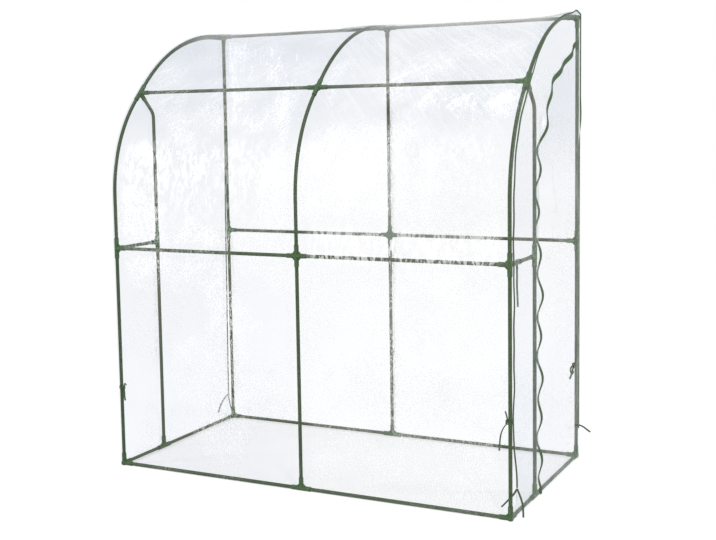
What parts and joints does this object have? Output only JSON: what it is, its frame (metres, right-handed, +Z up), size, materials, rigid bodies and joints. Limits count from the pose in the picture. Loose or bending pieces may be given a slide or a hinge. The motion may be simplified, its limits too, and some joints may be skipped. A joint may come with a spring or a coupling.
{
  "type": "lean-to film greenhouse",
  "caption": "Lean-to greenhouse with a quarter-round roof: coated steel tubes in moulded fittings under a clear film cover with bound seams and a zipped door flap in one end",
  "frame": {"origin": "on the ground, under the centre of the cover's outline", "axes": "+X to the right along the wall, +Y towards the wall, +Z up; the curved front faces -Y"},
  "size_m": [2.1232, 1.0012, 2.112],
  "materials": {
    "tube": "satin green coating on steel tube",
    "fitting": "moulded green plastic",
    "film": "clear flexible film",
    "binding": "woven green edging tape",
    "zip": "green zip coil"
  },
  "bodies": {
    "root": {"front_bottom_rails": "tube", "back_bottom_rails": "tube", "end_bottom_rails": "tube", "front_posts": "tube", "back_lower_posts": "tube", "door_lower_posts": "tube", "front_mid_rails": "tube", "back_mid_rails": "tube", "end_mid_rails": "tube", "back_upper_posts": "tube", "door_upper_posts": "tube", "arches": "tube", "purlins": "tube", "ridge_rails": "tube", "front_corner_fittings": "fitting", "back_corner_fittings": "fitting", "bottom_tee_fittings": "fitting", "front_mid_fittings": "fitting", "mid_cross_fittings": "fitting", "back_mid_fittings": "fitting", "door_mid_fittings": "fitting", "purlin_fittings": "fitting", "ridge_fittings": "fitting", "front_and_roof_film": "film", "back_film": "film", "left_end_film": "film", "right_end_film": "film", "door_flap_film": "film", "left_arch_binding": "binding", "right_arch_binding": "binding", "left_back_binding": "binding", "right_back_binding": "binding", "zip_tapes": "binding", "zip_coil": "zip", "tie_turns": "binding", "mid_tie_tail": "binding", "front_tie_tail": "binding", "back_tie_tail": "binding", "left_tie_tail": "binding", "front_seam_tail": "binding", "side_seam_tail": "binding", "back_seam_tail": "binding", "left_seam_tail": "binding"}
  },
  "joints": []
}
